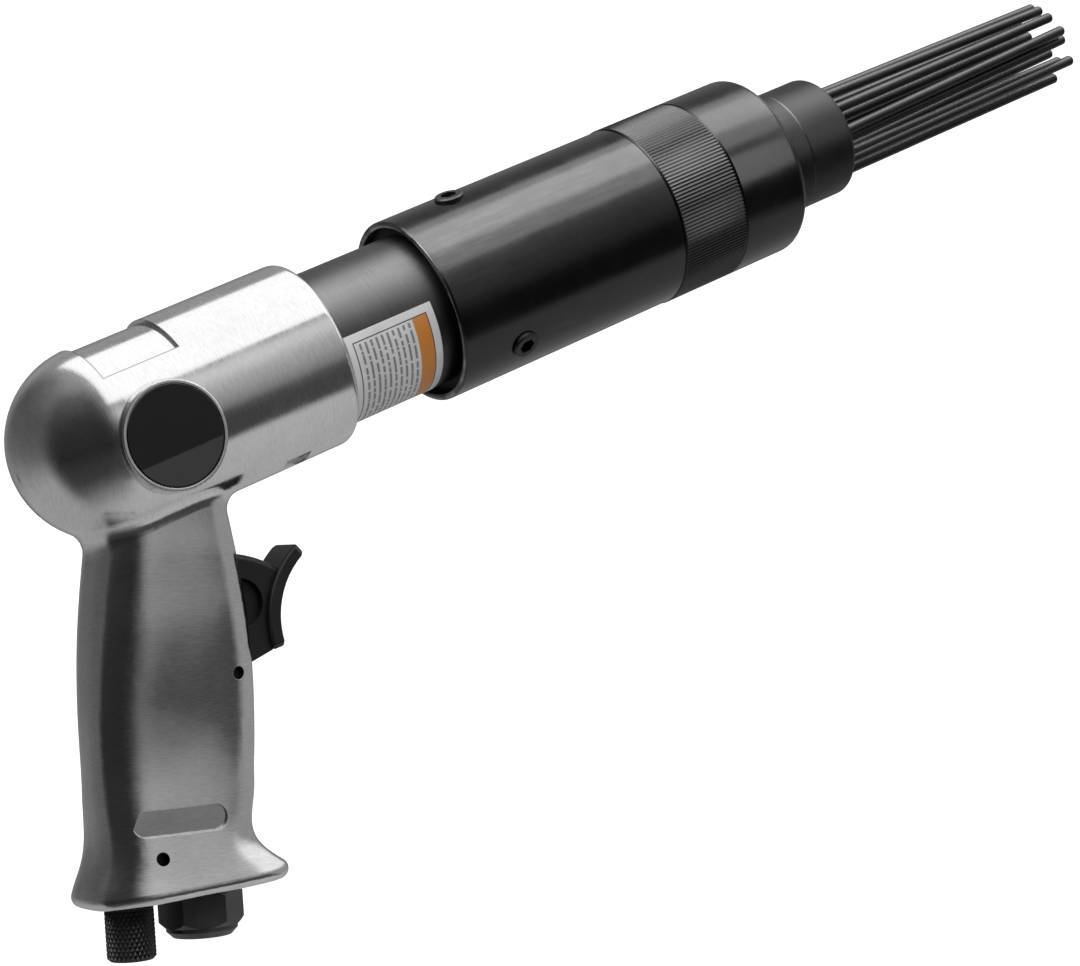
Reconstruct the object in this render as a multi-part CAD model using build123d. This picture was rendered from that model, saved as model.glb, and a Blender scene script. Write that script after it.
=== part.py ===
from build123d import *
from math import copysign, cos, pi, radians, sin, sqrt, tan
import os

# A pistol-grip air needle scaler. +X runs along the barrel axis towards the needle tips, +Z is
# up and -Y is the tool's right-hand side. Lengths are millimetres. Stations along the barrel
# count from the casing's front rim. The finished pieces are moved so that the origin lies on the
# barrel axis, where the nose's straight outer wall ends.

# Fits and edges
fit = 0.05               # radial clearance of turned pieces that slide or screw together
gap = 0.3                # room between pieces that move past each other
seat = 0.1               # face clearance of pieces that rest on each other and move apart
edge = 1.0               # chamfer on turned ends
fine_edge = 0.4          # chamfer on small pieces
overcut = 1.0            # how far a cut runs past the face that it opens

# Barrel
barrel_radius = 21.0
barrel_show = 32.4       # bare barrel between the casing and the needle housing
barrel_clamp = 30.6      # barrel length gripped inside the needle housing
barrel_tail = 34.0       # barrel length inside the casing
barrel_tail_wall = 5.0   # wall of the thinner rear end, which leaves the exhaust chamber around it
barrel_thread = 12.0     # length of full diameter inside the casing
exhaust_port_radius = 2.2
exhaust_port_count = 6

# Piston and anvil
piston_radius = 12.5
piston_length = 34.0
piston_stroke = 37.0
piston_rest = 0.5        # piston's rear end ahead of the barrel's
piston_relief = 0.6      # depth of the oil groove around the piston's middle
piston_relief_length = 6.0
shank_radius = 10.0
anvil_thickness = 16.0
bumper_thickness = 3.0

# Air distributing valve behind the barrel
valve_rim = 1.45         # valve plates wider than the barrel's tail
valve_seat_thickness = 5.0
valve_case_thickness = 11.0
valve_disc_radius = 10.0
valve_disc_thickness = 2.6
valve_lift = 1.2
valve_port_radius = 4.0
valve_dowel_radius = 1.5
air_chamber_radius = 12.0
air_chamber_depth = 8.0

# Casing
casing_wall = 4.35
casing_rise = 0.65       # outer cylinder's axis above the bore's
dome_setback = 61.4      # from the front rim to the middle of the rear dome
rim_round = 2.0
neck_round = 6.0
boss_setback = 53.8      # round badge bosses, one on each side
boss_drop = 2.1
boss_radius = 14.1
boss_round = 0.4         # rounding of the boss's rim
boss_root_radius = 14.5
boss_sink = 8.0          # depth of the boss's root inside the casing's cylinder
boss_rise = 1.6          # above the casing's cylinder
badge_radius = 13.1
badge_thickness = 1.4
plate_recess_rear = 63.0  # shallow name plate recess on top of the casing
plate_recess_front = 41.2
plate_recess_half_angle = 49.0
plate_recess_depth = 1.1
exhaust_slot_rear = 22.0
exhaust_slot_front = 14.5
exhaust_slot_angle = 21.5  # middle of each exhaust slot, to either side of straight down
exhaust_slot_half_angle = 8.5
exhaust_slot_depth = 1.5
exhaust_hole_radius = 1.3
exhaust_hole_angle = 16.5

# Grip
grip_setback = 49.0      # where the grip's axis meets the barrel axis, behind the rim
grip_rake = 19.0
grip_length = 94.7       # from the casing's underside to the grip's base, along the axis
grip_root = 16.7         # depth of the grip's root inside the casing
rear_reach = 13.2        # axis to rear face at the root, and how much it swells further down
rear_swell = 9.6
rear_swell_place = 0.65  # share of the grip's height where the rear is fullest
front_reach = 14.5
front_swell = 7.8
front_swell_span = 0.93  # share of a half wave that the front's swell follows
grip_half_width = 14.2   # at the root, and how much narrower the waist is
width_waist = 2.2
waist_start = 0.33       # shares of the grip's height where it starts to narrow and is narrowest
waist_place = 0.69
squareness = 3.3         # superellipse exponent of the grip's section
flare_height = 15.4
rear_flare = 4.8
front_flare = 18.3
width_flare = 5.7
width_flare_height = 40.0
width_flare_power = 2.0
flare_power = 1.5
base_tilt = 3.4
base_round = 2.4
grip_sections = 18
section_points = 24

# Oval recess on the right-hand side of the grip
oval_length = 25.4
oval_width = 6.5
oval_depth = 1.2
oval_height = 19.4       # above the base
oval_setback = 3.6       # behind the grip's axis

# Trigger and throttle valve, set out from the casing's underside along the grip
trigger_pin_drop = 39.7
trigger_pin_reach = 15.3
pin_radius = 1.6
pin_recess = 2.4
trigger_reach = 30.5     # pivot to the top of the web
trigger_half_web = 5.0
trigger_back = 12.0      # rear edge of the web, ahead of the grip's axis
trigger_lug_radius = 4.4
trigger_web_round = 1.6  # rounding of the web's top edges
trigger_pull = 10.0
finger_radius = 22.5     # hollow of the finger pad
finger_reach = 37.8      # middle of that hollow's circle, ahead of and above the pivot
finger_rise = 12.0
pad_half_width = 7.0
pad_thickness = 3.5
pad_low_angle = 16.5     # ends of the pad, below and above the level of the circle's middle
pad_high_angle = 49.6
pad_corner = 1.2
pad_edge = 0.8
dish_radius = 6.4        # round hollow in each side of the web
dish_depth = 2.4
dish_reach = 20.0
throttle_drop = 22.3
throttle_bush_radius = 6.0
throttle_bush_length = 12.8
throttle_bush_neck = 4.2  # length of the bush that guides the stem
throttle_port_radius = 2.6
throttle_way_radius = 3.6
throttle_stem_radius = 2.0
throttle_head_radius = 4.6
throttle_head_thickness = 1.6
throttle_washer_thickness = 1.2
throttle_spring_length = 7.6
throttle_spring_radius = 3.4
throttle_spring_wire = 0.45
throttle_spring_turns = 4
air_way_radius = 3.2
air_way_setback = 2.0

# Flow regulator in the base
regulator_spacing = 2.3  # between the knob and the corners of the inlet's hexagon
regulator_stem_radius = 4.5
regulator_knob_radius = 6.3
regulator_knob_length = 13.9
regulator_knob_edge = 0.8
regulator_knob_gap = 1.6  # knob's top below the base at the grip's axis
regulator_stem_length = 26.0
regulator_port_radius = 2.6
regulator_pin_height = 10.5
regulator_pin_bite = 0.3  # pin's axis inside the stem's surface
regulator_seal_wire = 0.55
regulator_seal_height = 5.0

# Air inlet in the base
inlet_reach = 5.6
inlet_hex = 19.05        # across flats
inlet_hex_turn = 17.0    # a corner's angle from straight ahead
inlet_hex_chamfer = 45.0
inlet_hex_height = 9.6
inlet_collar_height = 2.6
inlet_collar_radius = 9.2
inlet_collar_edge = 1.6
inlet_spigot_radius = 8.0
inlet_spigot_length = 15.0
inlet_spotface_depth = 1.3
inlet_thread_radius = 5.6  # bore of a quarter-inch pipe thread
inlet_thread_length = 12.0
inlet_bore_radius = 4.4
gasket_inset = 0.5       # gasket short of the hexagon's flats
screen_wall = 0.4
screen_length = 9.0
gasket_thickness = 0.8

# Needle housing, front cap and nose
housing_wall = 4.55
housing_length = 74.5
housing_mouth_wall = 2.0  # lip around the rear counterbore
housing_mouth_depth = 6.0
housing_lip_round = 0.9
housing_neck_wall = 2.2
housing_neck_length = 16.0
seal_ring_length = 3.0
screw_station = 19.8     # clamp screws, from the housing's rear end
screw_radius = 4.0
screw_proud = 1.0
screw_socket = 4.0       # across flats
screw_socket_depth = 2.4
screw_angles = (15.0, 135.0, 255.0)  # from the top towards the right-hand side
cap_length = 43.8
cap_step = 0.25          # cap proud of the housing
cap_front_wall = 4.5
cap_edge = 2.6
knurl_length = 21.5
knurl_groove = 0.35
nose_radius = 17.4
nose_bore_radius = 15.2
nose_neck_step = 0.4
nose_neck_length = 9.5
nose_length = 15.7
nose_edge = 1.8
nose_flange_thickness = 4.0
nose_flange_land = 0.3   # flange short of the housing bore

# Needles, their holder and its return spring
needle_radius = 1.5
needle_length = 180.0
needle_head_radius = 2.3
needle_head_length = 2.5
needle_tip_round = 0.9
needle_play = 11.0       # travel of a needle's head in the holder
holder_plate = 8.0
holder_cup_wall = 3.4
outer_ring_radius = 12.5
inner_ring_radius = 8.9
spring_radius = 18.2
spring_wire = 1.3
spring_turns = 6

# How each needle lies: ring radius, angle from the top towards the right-hand side, set-back of
# its head, and the sideways and upward drift of its tip.
needle_lay = (
    (outer_ring_radius, -20, 5.9, -2.3, -2.4),
    (outer_ring_radius, 20, 8.0, 0.8, -3.4),
    (outer_ring_radius, 60, 8.3, 3.8, -0.4),
    (outer_ring_radius, 100, 7.1, 3.3, 3.4),
    (outer_ring_radius, 140, 5.9, 1.0, 1.2),
    (outer_ring_radius, 180, 9.2, -1.5, 0.4),
    (outer_ring_radius, 220, 2.1, -2.5, 4.2),
    (outer_ring_radius, 260, 5.7, -3.3, 1.4),
    (outer_ring_radius, 300, 7.7, -3.3, -0.8),
    (inner_ring_radius, 120, 6.0, 1.0, 2.8),
    (inner_ring_radius, 280, 7.3, -3.0, 0.1),
    (inner_ring_radius, 200, 3.1, -1.5, 0.0),
)

# Label on the barrel
label_rear = 0.8
label_front = 28.4
label_start = 82.0
label_sweep = 92.0
label_thickness = 0.12
label_glue = 0.03

# Worked-out stations along the barrel
casing_radius = barrel_radius + casing_wall
casing_under = casing_radius - casing_rise
casing_bore = barrel_radius + fit
boss_face = casing_radius + boss_rise
exhaust_station = -(exhaust_slot_rear + exhaust_slot_front) / 2
housing_rear = barrel_show
housing_front = housing_rear + housing_length
barrel_front = housing_rear + barrel_clamp
barrel_rear = -barrel_tail
barrel_bore = piston_radius + fit
barrel_tail_radius = barrel_bore + barrel_tail_wall
valve_radius = barrel_tail_radius + valve_rim
valve_seat_rear = barrel_rear - valve_seat_thickness
valve_case_rear = valve_seat_rear - valve_case_thickness
piston_rear = barrel_rear + piston_rest
shank_rear = piston_rear + piston_length + piston_stroke + gap
anvil_rear = barrel_front + bumper_thickness + seat
anvil_front = anvil_rear + anvil_thickness
holder_rear = anvil_front + seat
holder_floor = holder_rear + needle_head_length + needle_play + gap
holder_front = holder_floor + holder_plate
housing_radius = barrel_radius + housing_wall
housing_bore = barrel_radius + fit
housing_mouth_radius = housing_radius - housing_mouth_wall
neck_radius = housing_radius - housing_neck_wall
neck_front = housing_front + housing_neck_length
cap_radius = housing_radius + cap_step
cap_front = housing_front + cap_length
knurl_front = housing_front + knurl_length
nose_neck_radius = nose_radius + nose_neck_step
nose_neck_front = cap_front + nose_neck_length
nose_front = nose_neck_front + nose_length
nose_round = min(nose_edge, 0.9 * (nose_radius - nose_bore_radius))
flange_front = cap_front - cap_front_wall
flange_rear = flange_front - nose_flange_thickness
flange_radius = housing_bore - nose_flange_land

# Worked-out places along the grip: u is ahead of the grip's axis, s is down it
grip_top = casing_under - grip_root
base_s = casing_under + grip_length
trigger_pin_s = casing_under + trigger_pin_drop
finger_u = trigger_pin_reach + finger_reach
finger_s = trigger_pin_s - finger_rise
throttle_s = casing_under + throttle_drop
slot_top = trigger_pin_s - trigger_reach - gap
slot_bottom = trigger_pin_s + trigger_lug_radius + gap
slot_back = trigger_back - trigger_reach * sin(radians(trigger_pull)) - gap
slot_mouth = front_reach + front_swell + trigger_lug_radius
bush_front = slot_back - seat
bush_rear = bush_front - throttle_bush_length
washer_rear = bush_rear - seat - throttle_washer_thickness
stem_head_front = washer_rear - seat
stem_head_rear = stem_head_front - throttle_head_thickness
throttle_bore_rear = stem_head_rear - throttle_spring_length - 2 * seat
oval_s = base_s - oval_height
hex_corner = inlet_hex / sqrt(3)
hex_top = base_s - inlet_spotface_depth + gasket_thickness
collar_end = inlet_hex_height + inlet_collar_height
regulator_u = inlet_reach - hex_corner - regulator_spacing - regulator_knob_radius
regulator_pin_u = regulator_u + regulator_stem_radius - regulator_pin_bite
regulator_pin_s = base_s - regulator_pin_height
regulator_seal_s = base_s - regulator_seal_height
knob_top = base_s + regulator_knob_gap
stem_top = base_s - regulator_stem_length
cross_way_s = stem_top + 2 * regulator_port_radius
below_grip = base_s + collar_end + flare_height

rake = radians(grip_rake)
forward = (cos(rake), 0, -sin(rake))
down = (-sin(rake), 0, -cos(rake))
# In the grip's frame x is forward, y is towards the right-hand side and z is down the grip.
grip = Plane(origin=(-grip_setback, 0, 0), x_dir=forward, z_dir=down)
# In the side view x is forward and y is down the grip.
side_view = Plane(origin=(-grip_setback, 0, 0), x_dir=forward, z_dir=(0, 1, 0))


def turned(*outline):
    """Solid of revolution about the barrel axis, from (station, radius) corners."""
    face = make_face(Polyline(*[(x, 0, r) for x, r in outline], close=True))
    return revolve(face, Axis.X)


def sleeve(start, end, outer, inner):
    """Plain tube on the barrel axis."""
    return turned((start, inner), (end, inner), (end, outer), (start, outer))


def plug(start, end, radius):
    """Plain rod on the barrel axis."""
    return turned((start, 0), (end, 0), (end, radius), (start, radius))


def sector(start, end, inner, outer, angle, sweep):
    """Curved block on the barrel axis. Angle runs from the top towards the right-hand side."""
    corners = ((start, 0, inner), (end, 0, inner), (end, 0, outer), (start, 0, outer))
    face = make_face(Polyline(*corners, close=True))
    return revolve(Rot(angle, 0, 0) * face, Axis.X, revolution_arc=sweep)


def radial(radius, station, angle, inner, outer):
    """Rod that points away from the barrel axis."""
    middle = (inner + outer) / 2
    return Rot(angle, 0, 0) * Pos(station, 0, middle) * Cylinder(radius, outer - inner)


def along_grip(radius, u, start, end):
    """Rod parallel to the grip's axis."""
    return grip * Pos(u, 0, (start + end) / 2) * Cylinder(radius, end - start)


def fore_aft(radius, s, start, end):
    """Rod square to the grip's axis, in the tool's middle plane."""
    return grip * Pos((start + end) / 2, 0, s) * Rot(0, 90, 0) * Cylinder(radius, end - start)


def crosswise(radius, u, s, half_length):
    """Rod from side to side through the grip."""
    return grip * Pos(u, 0, s) * Rot(90, 0, 0) * Cylinder(radius, 2 * half_length)


def coil(radius, wire, length, turns):
    """Helical spring that stands on the XY plane."""
    path = Helix(pitch=(length - 2 * wire) / turns, height=length - 2 * wire, radius=radius)
    section = Plane(origin=path @ 0, z_dir=path % 0) * Circle(wire)
    return Pos(0, 0, wire) * sweep(section, path=path, is_frenet=True)


def rim_edges(solid, station, radius):
    """Circular edges of a turned piece at a station, outside a radius."""
    circles = solid.edges().filter_by(GeomType.CIRCLE)
    return [e for e in circles if abs(e.position_at(0).X - station) < fit and e.radius > radius]


def swell(t, place):
    """Rises from 0 to 1 as a quarter wave, and is full from a place onwards."""
    return sin(pi / 2 * min(1, t / place))


def ease(t, start, end):
    """Rises from 0 to 1 as a half wave between two places."""
    return (1 - cos(pi * min(1, max(0, (t - start) / (end - start))))) / 2


def grip_outline(s):
    """Rear reach, front reach and half width of the grip at a place down its axis."""
    t = (s - grip_top) / (base_s - grip_top)
    flare = max(0.0, (s - base_s + flare_height) / flare_height) ** flare_power
    rear = rear_reach + rear_swell * swell(t, rear_swell_place) + rear_flare * flare
    front = front_reach + front_swell * sin(pi * front_swell_span * t) + front_flare * flare
    side_flare = max(0.0, (s - base_s + width_flare_height) / width_flare_height) ** width_flare_power
    waist = width_waist * ease(t, waist_start, waist_place)
    return rear, front, grip_half_width - waist + width_flare * side_flare


def superellipse(turn, power):
    """Point of a unit superellipse."""
    c = cos(turn)
    d = sin(turn)
    return copysign(abs(c) ** (2 / power), c), copysign(abs(d) ** (2 / power), d)


def grip_section(s):
    """Section of the grip, a superellipse."""
    rear, front, half_width = grip_outline(s)
    middle = (front - rear) / 2
    reach = (front + rear) / 2
    points = []
    for i in range(section_points):
        x, y = superellipse(2 * pi * i / section_points, squareness)
        points.append(Vector(middle + reach * x, half_width * y))
    return grip * Pos(0, 0, s) * make_face(Wire([Edge.make_spline(points, periodic=True)]))


def half_width_at(u, s):
    """Half width of the grip's section at a distance from its axis."""
    rear, front, half_width = grip_outline(s)
    off_middle = (u - (front - rear) / 2) / ((front + rear) / 2)
    return half_width * (1 - abs(off_middle) ** squareness) ** (1 / squareness)


def casing_skin():
    """Outer shape of the casing: domed cylinder and grip, blended at the neck."""
    rim = (0, casing_radius)
    shoulder = (-dome_setback, casing_radius)
    dome = CenterArc((-dome_setback, 0), casing_radius, 90, 90)
    outline = [Line((0, 0), rim), Line(rim, shoulder), dome, Line(dome @ 1, (0, 0))]
    head = revolve(make_face(Plane.XZ * Curve(outline)), Axis.X)
    step = (base_s + flare_height / 3 - grip_top) / (grip_sections - 1)
    handle = loft([grip_section(grip_top + i * step) for i in range(grip_sections)])
    waste = Pos(0, 0, 2 * flare_height) * Box(8 * casing_radius, 8 * casing_radius, 4 * flare_height)
    handle -= grip * Pos(0, 0, base_s) * Rot(0, base_tilt, 0) * waste
    skin = Pos(0, 0, casing_rise) * head + handle
    lowest_neck = -casing_under - neck_round
    curves = skin.edges().filter_by(GeomType.BSPLINE)
    skin = fillet([e for e in curves if e.bounding_box().min.Z > lowest_neck], neck_round)
    skin = fillet(rim_edges(skin, 0, 0), rim_round)
    foot_s = base_s - flare_height / 3
    foot = [e for e in skin.edges() if min(grip.to_local_coords(e @ t).Z for t in (0, 0.5)) > foot_s]
    return fillet(foot, base_round)


def handle_casing():
    body = casing_skin()
    boss_root = casing_radius - boss_sink
    for hand in (-1, 1):
        boss = Cone(boss_root_radius, boss_radius, boss_face - boss_root)
        boss = fillet(boss.edges().group_by(Axis.Z)[-1], boss_round)
        middle = hand * (boss_face + boss_root) / 2
        body += Pos(-boss_setback, middle, -boss_drop) * Rot(-90 * hand, 0, 0) * boss
    for hand in (-1, 1):
        pocket = Cylinder(badge_radius + fit, badge_thickness + seat)
        middle = boss_face - (badge_thickness + seat) / 2
        body -= Pos(-boss_setback, hand * middle, -boss_drop) * Rot(90, 0, 0) * pocket
    body -= Pos(0, 0, casing_rise) * sector(
        -plate_recess_rear, -plate_recess_front, casing_radius - plate_recess_depth,
        casing_radius + overcut, -plate_recess_half_angle, 2 * plate_recess_half_angle)
    # Shallow exhaust slots under the casing, each with a hole through its floor.
    for hand in (-1, 1):
        start = 180 + hand * exhaust_slot_angle - exhaust_slot_half_angle
        body -= sector(-exhaust_slot_rear, -exhaust_slot_front, casing_under - exhaust_slot_depth,
                       casing_radius + overcut, start, 2 * exhaust_slot_half_angle)
        body -= radial(exhaust_hole_radius, exhaust_station, 180 + hand * exhaust_hole_angle,
                       casing_bore - overcut, casing_radius)
    # Stepped bore for the barrel, the valve stack and the air chamber behind it.
    body -= plug(barrel_rear, rim_round, casing_bore)
    body -= plug(valve_case_rear, barrel_rear, valve_radius + fit)
    body -= plug(valve_case_rear - air_chamber_depth, valve_case_rear, air_chamber_radius)
    # Trigger slot, its pin and the throttle bore behind it.
    slot = Box(slot_mouth - slot_back, 2 * (trigger_half_web + gap), slot_bottom - slot_top)
    body -= grip * Pos((slot_mouth + slot_back) / 2, 0, (slot_top + slot_bottom) / 2) * slot
    body -= crosswise(pin_radius + fit, trigger_pin_reach, trigger_pin_s, 2 * casing_radius)
    body -= fore_aft(throttle_bush_radius + fit, throttle_s, throttle_bore_rear, slot_back + overcut)
    body -= along_grip(air_way_radius, -air_way_setback, grip_top - valve_port_radius, throttle_s)
    # Inlet, regulator and the way between them.
    spigot_top = hex_top - inlet_spigot_length - overcut
    body -= along_grip(inlet_spigot_radius + fit, inlet_reach, spigot_top, below_grip)
    body -= along_grip(hex_corner + gap, inlet_reach, base_s - inlet_spotface_depth, below_grip)
    body -= along_grip(inlet_bore_radius, inlet_reach, stem_top, base_s)
    body -= along_grip(regulator_stem_radius + fit, regulator_u, stem_top - gap, below_grip)
    body -= along_grip(air_way_radius, regulator_u, throttle_s, stem_top)
    body -= fore_aft(regulator_port_radius, cross_way_s, regulator_u, inlet_reach)
    body -= crosswise(pin_radius + fit, regulator_pin_u, regulator_pin_s, 2 * casing_radius)
    # Oval recess on the right-hand side.
    floor = half_width_at(0, oval_s) - oval_depth
    oval = extrude(SlotOverall(oval_length, oval_width), casing_radius)
    body -= grip * Pos(-oval_setback, floor, oval_s) * Rot(-90, 0, 0) * oval
    return body


def badge_disc(hand):
    """Thin disc with a rounded edge that closes a side boss."""
    disc = Cylinder(badge_radius, badge_thickness)
    disc = fillet(disc.edges().group_by(Axis.Z)[-1], badge_thickness / 3)
    middle = boss_face - badge_thickness / 2
    return Pos(-boss_setback, hand * middle, -boss_drop) * Rot(-90 * hand, 0, 0) * disc


def cylinder_barrel():
    guide = shank_radius + fit
    guide_rear = shank_rear + gap
    barrel = turned((barrel_rear, barrel_bore), (guide_rear, barrel_bore), (guide_rear, guide),
                    (barrel_front, guide), (barrel_front, barrel_radius - edge),
                    (barrel_front - edge, barrel_radius), (-barrel_thread, barrel_radius),
                    (-barrel_thread, barrel_tail_radius), (barrel_rear, barrel_tail_radius))
    for i in range(exhaust_port_count):
        angle = i * 360 / exhaust_port_count
        barrel -= radial(exhaust_port_radius, exhaust_station, angle, barrel_bore / 2, barrel_radius)
    return barrel - dowel_rod(valve_dowel_radius + fit)


def dowel_rod(radius):
    """Locating dowel through the valve stack into the barrel's tail wall."""
    middle = barrel_bore + barrel_tail_wall / 2
    start = valve_seat_rear - valve_case_thickness / 2
    end = barrel_rear + valve_seat_thickness
    return Pos((start + end) / 2, 0, middle) * Rot(0, 90, 0) * Cylinder(radius, end - start)


def valve_case():
    pocket = valve_seat_rear - valve_disc_thickness - valve_lift - 2 * seat
    pocket_radius = valve_disc_radius + fit
    case = turned((valve_case_rear, valve_port_radius), (pocket, valve_port_radius),
                  (pocket, pocket_radius), (valve_seat_rear, pocket_radius),
                  (valve_seat_rear, valve_radius), (valve_case_rear, valve_radius))
    return case - dowel_rod(valve_dowel_radius + fit)


def valve_disc():
    front = valve_seat_rear - valve_lift - seat
    return sleeve(front - valve_disc_thickness, front, valve_disc_radius, valve_port_radius / 2)


def valve_seat():
    plate = sleeve(valve_seat_rear, barrel_rear, valve_radius, valve_port_radius)
    return plate - dowel_rod(valve_dowel_radius + fit)


def piston():
    body = plug(piston_rear, piston_rear + piston_length, piston_radius)
    body = chamfer(body.edges().filter_by(GeomType.CIRCLE), edge)
    middle = piston_rear + piston_length / 2
    half = piston_relief_length / 2
    root = piston_radius - piston_relief
    return body - sleeve(middle - half, middle + half, piston_radius + overcut, root)


def anvil_bumper():
    return sleeve(barrel_front, barrel_front + bumper_thickness, barrel_radius - edge, shank_radius + gap)


def anvil():
    head_radius = barrel_radius - gap
    return turned((shank_rear, 0), (anvil_front, 0), (anvil_front, head_radius), (anvil_rear, head_radius),
                  (anvil_rear, shank_radius), (shank_rear + edge, shank_radius),
                  (shank_rear, shank_radius - edge))


def housing_tube():
    mouth_end = housing_rear + housing_mouth_depth
    tube = turned((housing_rear, housing_mouth_radius), (mouth_end, housing_mouth_radius),
                  (mouth_end, housing_bore), (neck_front, housing_bore), (neck_front, neck_radius),
                  (housing_front, neck_radius), (housing_front, housing_radius - knurl_groove),
                  (housing_front - knurl_groove, housing_radius), (housing_rear, housing_radius))
    tube = fillet(rim_edges(tube, housing_rear, 0), min(housing_lip_round, 0.45 * housing_mouth_wall))
    for angle in screw_angles:
        tube -= radial(screw_radius + fit, housing_rear + screw_station, angle, barrel_radius / 2,
                       housing_radius + overcut)
    return tube


def housing_set_screws():
    """Three socket set screws that clamp the housing on the barrel."""
    top = housing_radius + screw_proud
    screws = []
    for angle in screw_angles:
        screw = Pos(0, 0, (barrel_radius + top) / 2) * Cylinder(screw_radius, top - barrel_radius)
        screw = chamfer(screw.edges().group_by(Axis.Z)[-1], fine_edge)
        socket = extrude(RegularPolygon(screw_socket / sqrt(3), 6), screw_socket_depth + overcut)
        screw -= Pos(0, 0, top - screw_socket_depth) * socket
        screws.append(Rot(angle, 0, 0) * Pos(housing_rear + screw_station, 0, 0) * screw)
    return Compound(screws)


def barrel_seal_ring():
    """Rubber ring in the housing's rear counterbore."""
    end = housing_rear + housing_mouth_depth
    return sleeve(end - seal_ring_length, end, housing_mouth_radius - fit, housing_bore)


def front_cap():
    inner = neck_radius + fit
    inner_end = neck_front + gap
    mouth = nose_neck_radius + fit
    groove = cap_radius - knurl_groove
    cap = turned((housing_front, inner), (inner_end, inner), (inner_end, housing_bore),
                 (flange_front, housing_bore), (flange_front, mouth), (cap_front, mouth),
                 (cap_front, cap_radius), (knurl_front + knurl_groove, cap_radius), (knurl_front, groove),
                 (knurl_front - knurl_groove, cap_radius), (housing_front + knurl_groove, cap_radius),
                 (housing_front, groove))
    return fillet(rim_edges(cap, cap_front, cap_radius - fit), cap_edge)


def nose_sleeve():
    nose = turned((flange_rear, nose_bore_radius), (nose_front, nose_bore_radius),
                  (nose_front, nose_radius), (nose_neck_front + nose_neck_step, nose_radius),
                  (nose_neck_front, nose_radius - nose_neck_step),
                  (nose_neck_front - nose_neck_step, nose_neck_radius), (flange_front, nose_neck_radius),
                  (flange_front, flange_radius), (flange_rear, flange_radius))
    return fillet(rim_edges(nose, nose_front, nose_radius - fit), nose_round)


def needle_axis(ring, angle, drift_y, drift_z):
    """Plane with its origin at a needle's hole in the holder's floor and its z along the needle."""
    a = radians(angle)
    hole = Vector(holder_floor, -ring * sin(a), ring * cos(a))
    reach = needle_length - needle_head_length
    return Plane(origin=hole, x_dir=(0, 1, 0), z_dir=(reach, drift_y, drift_z))


def needle(ring, angle, set_back, drift_y, drift_z):
    """Headed needle, slid back in the holder by set_back."""
    shaft = Pos(0, 0, needle_length / 2) * Cylinder(needle_radius, needle_length)
    shaft = fillet(shaft.edges().group_by(Axis.Z)[-1], min(needle_tip_round, 0.9 * needle_radius))
    head = Pos(0, 0, needle_head_length / 2) * Cylinder(needle_head_radius, needle_head_length)
    place = Pos(0, 0, -needle_head_length - set_back - gap)
    return needle_axis(ring, angle, drift_y, drift_z) * place * (shaft + head)


def needle_holder():
    outer = housing_bore - fit
    inner = outer - holder_cup_wall
    holder = turned((holder_rear, inner), (holder_floor, inner), (holder_floor, 0), (holder_front, 0),
                    (holder_front, outer), (holder_rear, outer))
    for ring, angle, set_back, drift_y, drift_z in needle_lay:
        hole = Cylinder(needle_radius + fit, 4 * holder_plate)
        holder -= needle_axis(ring, angle, drift_y, drift_z) * hole
    return holder


def return_spring():
    length = flange_rear - holder_front - 2 * seat
    spring = coil(spring_radius, spring_wire, length, spring_turns)
    return Pos(holder_front + seat, 0, 0) * Rot(0, 90, 0) * spring


def trigger():
    """Sector-shaped web on a pivot lug, with a hollow finger pad across its front."""
    start = 180 - pad_low_angle
    sweep_angle = pad_low_angle + pad_high_angle
    front = CenterArc((finger_u, finger_s), finger_radius, start, sweep_angle)
    back = CenterArc((finger_u, finger_s), finger_radius + pad_thickness, start, sweep_angle)
    outline = [front, Line(front @ 1, back @ 1), back, Line(back @ 0, front @ 0)]
    pad = extrude(side_view * make_face(Curve(outline)), pad_half_width, both=True)
    corners = [e for e in pad.edges().filter_by(GeomType.LINE) if e.length < pad_thickness + fit]
    pad = chamfer(corners, pad_corner)
    pad = fillet(pad.edges(), min(pad_edge, 0.4 * pad_thickness))
    pivot = Pos(trigger_pin_reach, trigger_pin_s)
    top = trigger_pin_s - trigger_reach - overcut
    foot = back @ 0
    lug = trigger_pin_reach + trigger_lug_radius / 2
    web = make_face(Polyline(
        (trigger_back, top), (finger_u, top), (foot.X, foot.Y), (lug, trigger_pin_s),
        (trigger_back, trigger_pin_s), close=True))
    web = web & (pivot * Circle(trigger_reach))
    web -= Pos(finger_u, finger_s) * Circle(finger_radius + pad_thickness / 2)
    web += pivot * Circle(trigger_lug_radius)
    body = extrude(side_view * web, trigger_half_web, both=True)
    arcs = [e for e in body.edges().filter_by(GeomType.CIRCLE) if abs(e.radius - trigger_reach) < fit]
    body = fillet(arcs, trigger_web_round) + pad
    for hand in (-1, 1):
        dish = Pos(0, 0, hand * trigger_half_web) * Cylinder(dish_radius, 2 * dish_depth)
        body -= side_view * Pos(dish_reach, throttle_s, 0) * dish
    return body - crosswise(pin_radius + fit, trigger_pin_reach, trigger_pin_s, 2 * pad_half_width)


def trigger_pin():
    half = half_width_at(trigger_pin_reach, trigger_pin_s) - pin_recess
    return crosswise(pin_radius, trigger_pin_reach, trigger_pin_s, half)


def throttle_bush():
    bush = fore_aft(throttle_bush_radius, throttle_s, bush_rear, bush_front)
    bush -= fore_aft(throttle_stem_radius + fit, throttle_s, bush_rear - overcut, bush_front + overcut)
    bush -= fore_aft(throttle_way_radius, throttle_s, bush_rear - overcut, bush_front - throttle_bush_neck)
    port_top = throttle_s - 2 * throttle_bush_radius
    return bush - along_grip(throttle_port_radius, -air_way_setback, port_top, throttle_s)


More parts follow.
